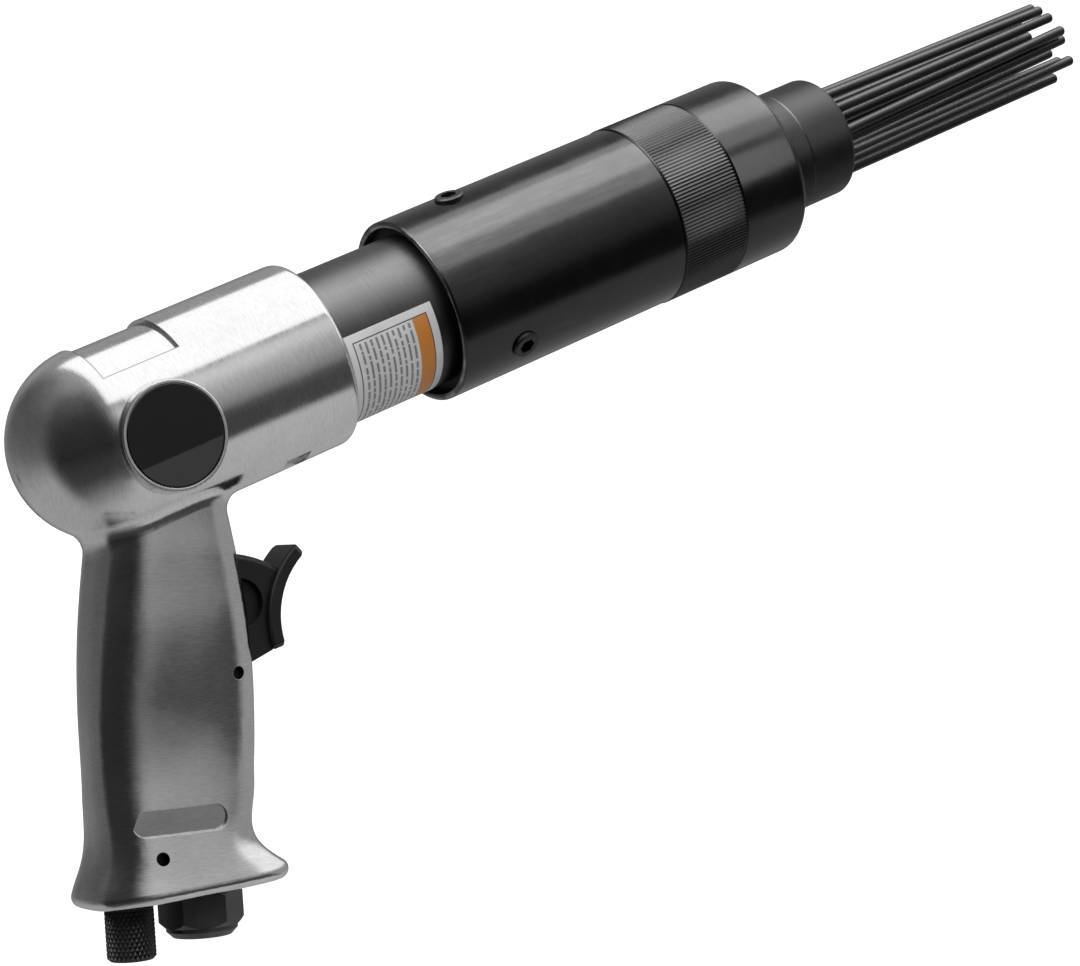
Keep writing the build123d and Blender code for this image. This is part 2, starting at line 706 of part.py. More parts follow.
def throttle_stem():
    stem = fore_aft(throttle_stem_radius, throttle_s, stem_head_front, trigger_back - gap)
    tip_edge = stem.edges().sort_by(lambda e: grip.to_local_coords(e.center()).X)[-1]
    stem = fillet(tip_edge, throttle_stem_radius / 2)
    stem += fore_aft(throttle_head_radius, throttle_s, stem_head_rear, stem_head_front)
    pilot = throttle_spring_radius - throttle_spring_wire - gap
    pilot_rear = stem_head_rear - throttle_head_thickness
    return stem + fore_aft(pilot, throttle_s, pilot_rear, stem_head_front)


def throttle_washer():
    ring = fore_aft(throttle_head_radius, throttle_s, washer_rear, bush_rear - seat)
    return ring - fore_aft(throttle_stem_radius + fit, throttle_s, washer_rear - overcut, bush_rear)


def throttle_spring():
    spring = coil(throttle_spring_radius, throttle_spring_wire, throttle_spring_length,
                  throttle_spring_turns)
    return grip * Pos(throttle_bore_rear + seat, 0, throttle_s) * Rot(0, 90, 0) * spring


def stem_groove(s, half_length, root):
    """Ring cut around the regulator's stem, down to a root radius."""
    ring = along_grip(regulator_stem_radius + overcut, regulator_u, s - half_length, s + half_length)
    return ring - along_grip(root, regulator_u, s - half_length - overcut, s + half_length + overcut)


def regulator_knob():
    """Knob and stem in one piece, kept in by a pin that crosses a groove in the stem."""
    knob = along_grip(regulator_knob_radius, regulator_u, knob_top, knob_top + regulator_knob_length)
    knob = chamfer(knob.edges().filter_by(GeomType.CIRCLE), regulator_knob_edge)
    knob += along_grip(regulator_stem_radius, regulator_u, stem_top, knob_top + overcut)
    pin_root = regulator_pin_u - regulator_u - pin_radius - gap
    seal_root = regulator_stem_radius - 2 * regulator_seal_wire
    knob -= stem_groove(regulator_pin_s, pin_radius + gap, pin_root)
    knob -= stem_groove(regulator_seal_s, regulator_seal_wire + fit, seal_root)
    knob -= fore_aft(regulator_port_radius, cross_way_s, regulator_u, inlet_reach)
    return knob - along_grip(regulator_port_radius, regulator_u, stem_top - overcut, cross_way_s)


def regulator_seal():
    ring = Torus(regulator_stem_radius - regulator_seal_wire, regulator_seal_wire - fit / 2)
    return grip * Pos(regulator_u, 0, regulator_seal_s) * ring


def regulator_pin():
    half = half_width_at(regulator_pin_u, regulator_pin_s) - pin_recess
    return crosswise(pin_radius, regulator_pin_u, regulator_pin_s, half)


def inlet_bushing():
    """Hexagon bushing that screws into the grip's base and takes the hose fitting."""
    hexagon = extrude(Rot(0, 0, inlet_hex_turn) * RegularPolygon(hex_corner, 6), inlet_hex_height)
    flat = inlet_hex / 2
    drop = (hex_corner - flat) * tan(radians(inlet_hex_chamfer))
    low = inlet_hex_height - drop
    crown = revolve(make_face(Polyline(
        (0, 0, 0), (flat, 0, 0), (hex_corner, 0, drop), (hex_corner, 0, low), (flat, 0, inlet_hex_height),
        (0, 0, inlet_hex_height), close=True)), Axis.Z)
    collar = Pos(0, 0, collar_end / 2) * Cylinder(inlet_collar_radius, collar_end)
    body = (hexagon & crown) + chamfer(collar.edges().group_by(Axis.Z)[-1], inlet_collar_edge)
    body += Pos(0, 0, -inlet_spigot_length / 2) * Cylinder(inlet_spigot_radius, inlet_spigot_length)
    total = inlet_spigot_length + collar_end
    body -= Pos(0, 0, collar_end - total / 2) * Cylinder(inlet_bore_radius, total + overcut)
    thread = Cylinder(inlet_thread_radius, inlet_thread_length)
    body -= Pos(0, 0, collar_end - inlet_thread_length / 2) * thread
    return grip * Pos(inlet_reach, 0, hex_top) * body


def inlet_screen():
    """Thimble-shaped wire screen inside the inlet bushing."""
    low = hex_top + collar_end - inlet_thread_length - seat
    top = low - screen_length
    outer = inlet_bore_radius - fit
    thimble = along_grip(outer, inlet_reach, top, low)
    return thimble - along_grip(outer - screen_wall, inlet_reach, top + screen_wall, low + overcut)


def inlet_gasket():
    top = base_s - inlet_spotface_depth
    ring = along_grip(inlet_hex / 2 - gasket_inset, inlet_reach, top, hex_top)
    return ring - along_grip(inlet_spigot_radius + fit, inlet_reach, top - overcut, hex_top + overcut)


def barrel_label():
    inner = barrel_radius + label_glue
    return sector(label_rear, label_front, inner, inner + label_thickness, label_start, label_sweep)


pieces = {
    "handle_casing": handle_casing(),
    "badge_disc_right": badge_disc(-1),
    "badge_disc_left": badge_disc(1),
    "cylinder_barrel": cylinder_barrel(),
    "barrel_label": barrel_label(),
    "valve_case": valve_case(),
    "valve_disc": valve_disc(),
    "valve_seat": valve_seat(),
    "valve_dowel": dowel_rod(valve_dowel_radius),
    "piston": piston(),
    "anvil_bumper": anvil_bumper(),
    "anvil": anvil(),
    "housing_tube": housing_tube(),
    "housing_set_screws": housing_set_screws(),
    "barrel_seal_ring": barrel_seal_ring(),
    "front_cap": front_cap(),
    "nose_sleeve": nose_sleeve(),
    "needle_holder": needle_holder(),
    "return_spring": return_spring(),
    "trigger": trigger(),
    "trigger_pin": trigger_pin(),
    "throttle_bush": throttle_bush(),
    "throttle_stem": throttle_stem(),
    "throttle_washer": throttle_washer(),
    "throttle_spring": throttle_spring(),
    "regulator_knob": regulator_knob(),
    "regulator_seal": regulator_seal(),
    "regulator_pin": regulator_pin(),
    "inlet_bushing": inlet_bushing(),
    "inlet_screen": inlet_screen(),
    "inlet_gasket": inlet_gasket(),
}
for number, lay in enumerate(needle_lay, start=1):
    pieces[f"needle_{number:02d}"] = needle(*lay)

os.makedirs("parts", exist_ok=True)
for name, piece in pieces.items():
    export_step(Pos(nose_round - nose_front, 0, 0) * piece, f"parts/{name}.step")
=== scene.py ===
# %% [markdown]
# # An air needle scaler
# This tool knocks rust and weld slag off steel with a bundle of hardened needles. It has a polished
# cast aluminium handle, a dark steel cylinder, and a black needle housing with a knurled cap.
# The shapes come from the imported CAD frame. This script adds the finishes, the two knurls, two springs
# made again as wire coils, and the studio.

# %% The frame
import math
import bpy
import numpy as np
from mathutils import Matrix, Vector


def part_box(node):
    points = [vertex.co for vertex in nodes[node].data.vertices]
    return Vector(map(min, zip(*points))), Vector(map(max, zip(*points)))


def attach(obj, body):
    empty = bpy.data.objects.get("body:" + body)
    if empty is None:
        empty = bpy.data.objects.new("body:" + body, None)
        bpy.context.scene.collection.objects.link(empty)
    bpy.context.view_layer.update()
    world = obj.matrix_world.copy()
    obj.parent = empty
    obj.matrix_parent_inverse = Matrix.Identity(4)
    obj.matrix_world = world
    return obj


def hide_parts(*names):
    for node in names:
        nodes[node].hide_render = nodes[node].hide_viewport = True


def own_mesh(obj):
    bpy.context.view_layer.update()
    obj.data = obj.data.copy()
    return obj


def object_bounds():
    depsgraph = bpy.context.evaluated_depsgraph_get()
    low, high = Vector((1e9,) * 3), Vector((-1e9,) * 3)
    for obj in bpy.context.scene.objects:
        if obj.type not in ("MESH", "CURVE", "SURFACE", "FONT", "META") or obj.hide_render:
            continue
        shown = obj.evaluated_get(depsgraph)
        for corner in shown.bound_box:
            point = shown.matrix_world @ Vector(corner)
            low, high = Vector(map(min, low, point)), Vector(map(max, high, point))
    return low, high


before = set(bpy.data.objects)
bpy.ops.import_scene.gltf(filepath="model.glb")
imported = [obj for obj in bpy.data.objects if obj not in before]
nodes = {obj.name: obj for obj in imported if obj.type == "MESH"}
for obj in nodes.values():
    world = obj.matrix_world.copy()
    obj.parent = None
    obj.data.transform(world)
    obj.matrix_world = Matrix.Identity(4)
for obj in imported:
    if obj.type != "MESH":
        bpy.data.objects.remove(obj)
cad_low, cad_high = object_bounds()
MM = 0.001
print("frame:", len(nodes), "nodes, size in mm", [round(v / MM, 1) for v in cad_high - cad_low])

# %% [markdown]
# ## The camera
# The camera stands behind and to the right of the tool, a little above it, and is rolled, so that the
# barrel climbs across the picture. The focal length is given in pixels of the picture, which
# the sensor's width turns into millimetres. Three turns in a row place it: round the vertical, up from
# the floor, and about its own line of sight.

# %% Camera
PICTURE_WIDTH = 1080
FOCAL_PIXELS = 3140.8
SENSOR_WIDTH = 36.0
CAMERA_PLACE = Vector((-0.52009, -0.74773, 0.08023))
CAMERA_AZIMUTH = 27.982
CAMERA_ELEVATION = 9.212
CAMERA_ROLL = -20.504

camera_data = bpy.data.cameras.new("camera")
camera_data.sensor_width = SENSOR_WIDTH
camera_data.sensor_fit = "HORIZONTAL"
camera_data.lens = FOCAL_PIXELS / PICTURE_WIDTH * SENSOR_WIDTH
camera = bpy.data.objects.new("camera", camera_data)
turn = (Matrix.Rotation(math.radians(-CAMERA_AZIMUTH), 4, "Z")
        @ Matrix.Rotation(math.radians(90 - CAMERA_ELEVATION), 4, "X")
        @ Matrix.Rotation(math.radians(CAMERA_ROLL), 4, "Z"))
camera.matrix_world = Matrix.Translation(CAMERA_PLACE) @ turn
bpy.context.scene.collection.objects.link(camera)
bpy.context.scene.camera = camera
print("camera: lens", round(camera_data.lens, 2), "mm")

# %% [markdown]
# ## Building node trees
# Every finish below is a small tree of shader nodes. A few helpers keep them readable: one adds a node and
# fills its inputs, two do arithmetic, one turns a range of values into another with a soft ramp, and two
# mix colours or numbers by a mask.

# %% Node helpers
def put(tree, kind, inputs=None, **settings):
    """Adds a node; settings are its own properties, and inputs are numbers, colours or other sockets."""
    node = tree.nodes.new(kind)
    for name, value in settings.items():
        setattr(node, name, value)
    for key, value in (inputs or {}).items():
        if isinstance(value, bpy.types.NodeSocket):
            tree.links.new(value, node.inputs[key])
        else:
            node.inputs[key].default_value = value
    return node


def math_node(tree, operation, *values):
    """One arithmetic step on sockets or numbers."""
    return put(tree, "ShaderNodeMath", dict(enumerate(values)), operation=operation).outputs[0]


def product(tree, first, second):
    """One value times another; of two masks, the part that both cover."""
    return math_node(tree, "MULTIPLY", first, second)


def soft_ramp(tree, value, start, end, low=0.0, high=1.0):
    """A smooth step: low where value is before start, high past end."""
    inputs = {"Value": value, "From Min": start, "From Max": end, "To Min": low, "To Max": high}
    return put(tree, "ShaderNodeMapRange", inputs, interpolation_type="SMOOTHSTEP").outputs[0]


def mix_colours(tree, mask, first, second):
    """first where mask is 0, second where it is 1."""
    node = put(tree, "ShaderNodeMix", {0: mask, 6: first, 7: second}, data_type="RGBA")
    return node.outputs[2]


def mix_values(tree, mask, first, second):
    """first where mask is 0, second where it is 1, for plain numbers."""
    return put(tree, "ShaderNodeMix", {0: mask, 2: first, 3: second}).outputs[0]


def grey(value):
    """A neutral colour."""
    return (value, value, value, 1.0)

# %% [markdown]
# ## The studio
# A polished tool is a mirror of its studio, so the light is arranged by what each band of the round
# barrel reflects: a large soft box overhead for the white band, a dim room behind the camera for the dark
# bands, and a pale lower half for the underside. The floor is plain and pale. It is left out of the
# reflections, where the dome stands in for it, so that floor and metal can each have their own brightness.

# %% Floor
FLOOR_REACH = 3.0
FLOOR_GLOW = 1.0
FLOOR_GREY = 0.88
FLOOR_ROUGHNESS = 0.9
FLOOR_SPECULAR = 0.1

floor_height = cad_low.z
corners = [(x * FLOOR_REACH, y * FLOOR_REACH, floor_height) for x, y in ((-1, -1), (1, -1), (1, 1), (-1, 1))]
floor_mesh = bpy.data.meshes.new("floor")
floor_mesh.from_pydata(corners, [], [(0, 1, 2, 3)])
floor = bpy.data.objects.new("floor", floor_mesh)
bpy.context.scene.collection.objects.link(floor)
floor_finish = bpy.data.materials.new("pale_floor")
floor_finish.use_nodes = True
floor_paint = floor_finish.node_tree.nodes["Principled BSDF"].inputs
floor_paint["Base Color"].default_value = grey(FLOOR_GREY)
floor_paint["Roughness"].default_value = FLOOR_ROUGHNESS
floor_paint["Specular IOR Level"].default_value = FLOOR_SPECULAR
floor_paint["Emission Color"].default_value = grey(1.0)
floor_paint["Emission Strength"].default_value = FLOOR_GLOW
floor_mesh.materials.append(floor_finish)
floor.visible_glossy = False
floor.visible_diffuse = False
print("floor at", round(floor_height / MM, 1), "mm")

# %% [markdown]
# The dome is the rest of the room. Its brightness depends on the direction only: each side of the room
# has its own list of brightness by height, and soft ramps carry one side over into the next. A picture
# of a real studio could do the same, but the lists need no file, and each value can be set by what it does.
# The tool's nose points ahead, along +X, and the camera stands on the front side, at -Y.

# %% Dome
BACK_DOME = [(-1.0, 0.45), (-0.5, 0.4), (-0.2, 0.15), (0.0, 0.2), (0.22, 0.24), (0.45, 0.33), (0.65, 0.31),
             (1.0, 0.4)]
FRONT_DOME = [(-1.0, 0.45), (-0.76, 0.5), (-0.69, 0.06), (-0.42, 0.06), (-0.3, 0.09), (-0.2, 0.21),
              (0.0, 0.35), (0.21, 0.46), (0.4, 0.68), (0.5, 0.68), (0.62, 0.35), (1.0, 0.35)]
BACK_REAR_DOME = [(-1.0, 0.35), (-0.55, 0.36), (-0.3, 0.37), (-0.1, 0.27), (0.1, 0.15), (0.3, 0.11),
                  (0.6, 0.09), (0.75, 0.12), (0.9, 0.17), (1.0, 0.3)]
FRONT_REAR_DOME = [(-1.0, 0.45), (-0.82, 0.25), (-0.65, 0.12), (-0.5, 0.07), (-0.1, 0.06), (0.4, 0.06),
                   (0.65, 0.06), (0.8, 0.08), (0.9, 0.12), (1.0, 0.3)]
CAMERA_DOME = [(-1.0, 0.45), (-0.8, 0.2), (-0.65, 0.09), (-0.5, 0.045), (-0.3, 0.04), (0.0, 0.022),
               (0.4, 0.03), (0.65, 0.045), (0.8, 0.09), (1.0, 0.3)]
AHEAD_DOME = [(-1.0, 0.4), (-0.3, 0.3), (-0.05, 0.32), (0.12, 0.95), (1.0, 0.95)]
TOWARDS_CAMERA = Vector((-0.7, -0.7, 0.1))
BACK_TO_FRONT = (0.2, -0.2)
SIDES_TO_REAR = (0.15, -0.25)
SIDES_TO_AHEAD = (0.68, 0.84)
SIDES_TO_CAMERA = (0.5, 0.9)

world = bpy.data.worlds.new("studio_dome")
bpy.context.scene.world = world
world.use_nodes = True
dome = world.node_tree
direction = put(dome, "ShaderNodeTexCoord").outputs["Generated"]
axes = put(dome, "ShaderNodeSeparateXYZ", {0: direction}).outputs


def dome_band(stops):
    """Brightness by height: stops are pairs of the height, as sine of the elevation, and the brightness."""
    ramp = put(dome, "ShaderNodeValToRGB", {0: math_node(dome, "MULTIPLY_ADD", axes["Z"], 0.5, 0.5)})
    elements = ramp.color_ramp.elements
    for place, (height, brightness) in enumerate(stops):
        stop = elements[place] if place < 2 else elements.new(1.0)
        stop.position = 0.5 + 0.5 * height
        stop.color = grey(brightness)
    return ramp.outputs[0]


front_share = soft_ramp(dome, axes["Y"], *BACK_TO_FRONT)
rear_share = soft_ramp(dome, axes["X"], *SIDES_TO_REAR)
ahead_share = soft_ramp(dome, axes["X"], *SIDES_TO_AHEAD)
facing = put(dome, "ShaderNodeVectorMath", {0: direction, 1: TOWARDS_CAMERA}, operation="DOT_PRODUCT")
camera_share = soft_ramp(dome, facing.outputs["Value"], *SIDES_TO_CAMERA)
both_sides = mix_colours(dome, front_share, dome_band(BACK_DOME), dome_band(FRONT_DOME))
both_rears = mix_colours(dome, front_share, dome_band(BACK_REAR_DOME), dome_band(FRONT_REAR_DOME))
with_rear = mix_colours(dome, rear_share, both_sides, both_rears)
with_ahead = mix_colours(dome, ahead_share, with_rear, dome_band(AHEAD_DOME))
reflected = mix_colours(dome, camera_share, with_ahead, dome_band(CAMERA_DOME))
seen = put(dome, "ShaderNodeLightPath").outputs["Is Camera Ray"]
dome.links.new(mix_colours(dome, seen, reflected, grey(1.0)), dome.nodes["Background"].inputs["Color"])
print("dome: back, front, two rear quarters, ahead and camera side")

# %% [markdown]
# The soft boxes hang level over the tool, and a few small cards stand upright on the camera's side. Black
# steel reflects so little that it needs a much brighter box than the aluminium, so each light is flagged
# off the pieces that it isn't meant for. Blender calls this light linking. Two boxes hang over the
# dark pieces, a wide one and a narrow one a little lower, because real highlights have a bright core.

# %% Lights
def soft_box(name, low, high, brightness):
    """A rectangular light between two opposite corners: a level one faces down, an upright one faces +Y.

    Brightness is what the face shows, so the power grows with the area.
    """
    size = Vector(high) - Vector(low)
    light = bpy.data.lights.new(name, "AREA")
    light.shape = "RECTANGLE"
    light.size = size.x
    light.size_y = size.y + size.z
    light.energy = brightness * math.pi * light.size * light.size_y
    lamp = bpy.data.objects.new(name, light)
    lamp.location = (Vector(low) + Vector(high)) / 2
    lamp.rotation_euler.x = math.pi / 2 if size.z else 0.0
    lamp.visible_camera = False
    bpy.context.scene.collection.objects.link(lamp)
    print(name, "is", round(light.size, 2), "by", round(light.size_y, 2), "m")
    return lamp


def light_only(lamp, pieces):
    """Limits a light to some pieces, as a flag in a studio keeps it off the others."""
    group = bpy.data.collections.new(lamp.name + "_pieces")
    for piece in pieces:
        group.objects.link(piece)
    lamp.light_linking.receiver_collection = group
    print(lamp.name, "lights", len(pieces), "pieces")


pale_box = soft_box("pale_box", (-0.19, -1.1, 1.0), (1.4, 0.72, 1.0), brightness=0.88)
wide_box = soft_box("wide_box", (-1.3, -1.25, 0.9), (1.3, 0.33, 0.9), brightness=2.3)
peak_box = soft_box("peak_box", (-1.3, -0.5, 0.85), (1.3, 0.1, 0.85), brightness=2.9)
cap_card = soft_box("cap_card", (0.38, -0.9, -0.2), (0.78, -0.9, 0.4), brightness=2.1)
disc_card = soft_box("disc_card", (-0.2, -0.377, -0.12), (0.15, -0.377, -0.049), brightness=0.62)
label_card = soft_box("label_card", (-0.2, -0.9, 0.1), (0.6, -0.9, 0.6), brightness=3.0)

# %% [markdown]
# ## Shared effects
# Five effects make up the finishes, so each is a node group with its own inputs. Tool marks are noise that
# is stretched along one direction: fine lines one way, long streaks the other. Smudges are broad soft
# noise, for handling and uneven finish. Waves are slow hills, such as hand polishing leaves. Grain is fine
# noise the same in all directions. Rubbed edges are thin bright lines where black finish has worn
# through at a corner.

# %% Node groups
MARK_CONTRAST = (0.25, 0.75)
SMUDGE_CONTRAST = (0.3, 0.7)
RUB_FADE = (1.0, 0.2)
RUB_CONTRAST = (0.35, 0.6)
RUB_LEAST = 0.25
RUB_SCALE = 140.0


def start_group(name, inputs, output):
    """An empty shader group; inputs map a name to its socket type and default, and output is a number."""
    tree = bpy.data.node_groups.new(name, "ShaderNodeTree")
    for label, (kind, value) in inputs.items():
        socket = tree.interface.new_socket(label, in_out="INPUT", socket_type="NodeSocket" + kind)
        if value is not None:
            socket.default_value = value
    tree.interface.new_socket(output, in_out="OUTPUT", socket_type="NodeSocketFloat")
    return tree, tree.nodes.new("NodeGroupInput").outputs, tree.nodes.new("NodeGroupOutput").inputs[output]


def tool_marks_group():
    """Lines across X: noise with a pitch of Pitch metres along X and Length metres along Y and Z."""
    inputs = {"Place": ("Vector", None), "Pitch": ("Float", 0.3 * MM), "Length": ("Float", 8.0 * MM)}
    tree, given, result = start_group("tool_marks", inputs, "Lines")
    across = math_node(tree, "DIVIDE", 1.0, given["Pitch"])
    along = math_node(tree, "DIVIDE", 1.0, given["Length"])
    stretch = put(tree, "ShaderNodeCombineXYZ", {0: across, 1: along, 2: along}).outputs[0]
    place = put(tree, "ShaderNodeVectorMath", {0: given["Place"], 1: stretch}, operation="MULTIPLY")
    noise = put(tree, "ShaderNodeTexNoise",
                {"Vector": place.outputs[0], "Scale": 1.0, "Detail": 3.0, "Roughness": 0.6})
    tree.links.new(soft_ramp(tree, noise.outputs[0], *MARK_CONTRAST), result)
    return tree


def noise_group(name, output, contrast=None, **settings):
    """Noise with hills Size metres across, from 0 to 1; contrast is the range that is stretched to 0 to 1.

    settings are the noise node's other inputs.
    """
    inputs = {"Place": ("Vector", None), "Size": ("Float", 20.0 * MM)}
    tree, given, result = start_group(name, inputs, output)
    scale = math_node(tree, "DIVIDE", 1.0, given["Size"])
    noise = put(tree, "ShaderNodeTexNoise", {"Vector": given["Place"], "Scale": scale, **settings}).outputs[0]
    tree.links.new(soft_ramp(tree, noise, *contrast) if contrast else noise, result)
    return tree


def rubbed_edge_group():
    """1 within Width of the plane X = Station, broken up by noise, and 0 elsewhere."""
    inputs = {"Place": ("Vector", None), "Station": ("Float", 0.0), "Width": ("Float", 0.4 * MM)}
    tree, given, result = start_group("rubbed_edge", inputs, "Rub")
    axis = put(tree, "ShaderNodeSeparateXYZ", {0: given["Place"]}).outputs["X"]
    away = math_node(tree, "ABSOLUTE", math_node(tree, "SUBTRACT", axis, given["Station"]))
    near = soft_ramp(tree, math_node(tree, "DIVIDE", away, given["Width"]), *RUB_FADE)
    noise = put(tree, "ShaderNodeTexNoise", {"Vector": given["Place"], "Scale": RUB_SCALE, "Detail": 4.0})
    worn = soft_ramp(tree, noise.outputs[0], *RUB_CONTRAST, low=RUB_LEAST)
    tree.links.new(product(tree, near, worn), result)
    return tree


TOOL_MARKS = tool_marks_group()
SMUDGES = noise_group("smudges", "Patches", SMUDGE_CONTRAST, Detail=4.0, Roughness=0.55, Distortion=0.6)
WAVES = noise_group("waves", "Height", Detail=1.0)
GRAIN = noise_group("grain", "Grain", Detail=2.0)
RUBBED_EDGE = rubbed_edge_group()


def effect(tree, group, **inputs):
    """Places a node group in a material and returns its only output."""
    sockets = {label.capitalize(): value for label, value in inputs.items()}
    return put(tree, "ShaderNodeGroup", sockets, node_tree=group).outputs[0]


print("effects:", [group.name for group in bpy.data.node_groups])

# %% [markdown]
# ## Finishes
# A finish is one Principled shader. What is the same all over the surface is set on the shader itself, and
# what changes over it comes from the effects. Object coordinates are the tool's own frame, in metres, so a
# station along the barrel is simply a value of X.

# %% Finish helpers
CORNER_SAMPLES = 4


def start_finish(name, **constants):
    """A material with its shader's constants set.

    Returns the material, its node tree, its shader and the object coordinates.
    """
    material = bpy.data.materials.new(name)
    material.use_nodes = True
    tree = material.node_tree
    shader = tree.nodes["Principled BSDF"]
    for label, value in constants.items():
        shader.inputs[label.capitalize()].default_value = value
    return material, tree, shader, put(tree, "ShaderNodeTexCoord").outputs["Object"]


def set_bump(tree, shader, height, depth, corner=0.0):
    """Raises the surface by height times depth, in metres; corner is the radius that sharp corners show."""
    bump = put(tree, "ShaderNodeBump", {"Height": height, "Distance": depth, "Strength": 1.0})
    if corner:
        rounded = put(tree, "ShaderNodeBevel", {"Radius": corner}, samples=CORNER_SAMPLES)
        tree.links.new(rounded.outputs[0], bump.inputs["Normal"])
    tree.links.new(bump.outputs[0], shader.inputs["Normal"])

# %% [markdown]
# The handle is cast aluminium that was polished on a belt: the belt ran round the barrel end and across the
# grip, and it left fine short marks and a surface that isn't quite even. The marks change the colour, the
# gloss and, very little, the height. The grip is raked, so its marks need coordinates of their own, along
# and across the grip. Two more masks paint light and shade into the colour: painted shade on the walls of
# the pin holes, and a painted darker reflection on the rounded rim of the shallow recess on top. They are
# worked out first.

# %% Masks on the handle
GRIP_ORIGIN = Vector((-0.2231, 0.0, 0.0))
GRIP_RAKE = math.radians(19.0)
GRIP_FORWARD = Vector((math.cos(GRIP_RAKE), 0.0, -math.sin(GRIP_RAKE)))
GRIP_DOWN = Vector((-math.sin(GRIP_RAKE), 0.0, -math.cos(GRIP_RAKE)))
HOLE_RIM = (1.12, 1.04)
RECESS_REAR = -237.1 * MM
RECESS_FRONT = -215.3 * MM
RECESS_HALF_ANGLE = math.radians(49.0)
CASING_RADIUS = 25.35 * MM
CASING_RISE = 0.65 * MM
# EDGE_LINE is the width of the painted darker reflection just outside the recess rim.
EDGE_LINE = 0.3 * MM
SOFT_EDGE = 0.05 * MM


def dot(tree, vector, other):
    """Length of a vector along another."""
    return put(tree, "ShaderNodeVectorMath", {0: vector, 1: other}, operation="DOT_PRODUCT").outputs["Value"]


def inside(tree, value, low, high):
    """1 between low and high, with soft edges."""
    rise = soft_ramp(tree, value, low - SOFT_EDGE, low + SOFT_EDGE)
    return product(tree, rise, soft_ramp(tree, value, high + SOFT_EDGE, high - SOFT_EDGE))


def pin_hole_shade(tree, ahead, along, pin):
    """1 inside the hole of a cross pin, whose middle is that of the pin's box: the mask of the painted shade
    in the hole.
    """
    low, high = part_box(pin)
    offset = (low + high) / 2 - GRIP_ORIGIN
    u = math_node(tree, "SUBTRACT", ahead, offset.dot(GRIP_FORWARD))
    s = math_node(tree, "SUBTRACT", along, offset.dot(GRIP_DOWN))
    away = math_node(tree, "SQRT", math_node(tree, "MULTIPLY_ADD", u, u, product(tree, s, s)))
    radius = (high.x - low.x) / 2
    return soft_ramp(tree, away, HOLE_RIM[0] * radius, HOLE_RIM[1] * radius)


def recess_rim_reflection(tree, place):
    """1 on the rounded rim of the plate recess, at its rear end and its two sides, where a darker grey is
    painted as the rim's reflection.
    """
    axes = put(tree, "ShaderNodeSeparateXYZ", {0: place}).outputs
    height = math_node(tree, "SUBTRACT", axes["Z"], CASING_RISE)
    turn = math_node(tree, "ABSOLUTE", math_node(tree, "ARCTAN2", axes["Y"], height))
    arc = product(tree, turn, CASING_RADIUS)
    reach = RECESS_HALF_ANGLE * CASING_RADIUS
    outer = product(tree, inside(tree, axes["X"], RECESS_REAR - EDGE_LINE, RECESS_FRONT),
                    inside(tree, arc, -EDGE_LINE, reach + EDGE_LINE))
    inner = product(tree, inside(tree, axes["X"], RECESS_REAR, RECESS_FRONT + EDGE_LINE),
                    inside(tree, arc, -EDGE_LINE, reach))
    return math_node(tree, "MAXIMUM", math_node(tree, "SUBTRACT", outer, inner), 0.0)


print("grip leans", round(math.degrees(GRIP_RAKE), 1), "degrees")

# %% [markdown]
# With the masks at hand, the finish itself mixes the two sets of marks: rings on the barrel end, lines across
# the grip, and a soft change between them at the neck. Polished metal shows its unevenness in the
# reflections only, so the slow waves go into the bump and leave the colour alone.

# %% Polished aluminium
ROUND_MARKS = {"pitch": 0.26 * MM, "length": 2.4 * MM}
CROSS_MARKS = {"pitch": 0.3 * MM, "length": 2.5 * MM}
GRIP_START = (24.0 * MM, 34.0 * MM)
ALUMINIUM_PATCH = 11.0 * MM
ALUMINIUM_WAVE = 24.0 * MM
ALUMINIUM_DARK = 0.7
ALUMINIUM_BRIGHT = 0.89
MARK_SHARE = 0.75
# Painted reflection: the recess rim gets this darker grey in place of the darker room that its rounded edge
# reflects.
RIM_REFLECTION_GREY = 0.42
# Painted shade: the pin holes are coloured near black, as shade falls inside them.
HOLE_SHADE_GREY = 0.03
ALUMINIUM_ROUGHNESS = 0.08
MARK_ROUGHNESS = 0.06
PATCH_ROUGHNESS = 0.06
MARK_DEPTH = 0.002 * MM
BARREL_WAVE_DEPTH = 0.12 * MM
GRIP_WAVE_DEPTH = 0.4 * MM
CASTING_CORNER = 0.35 * MM


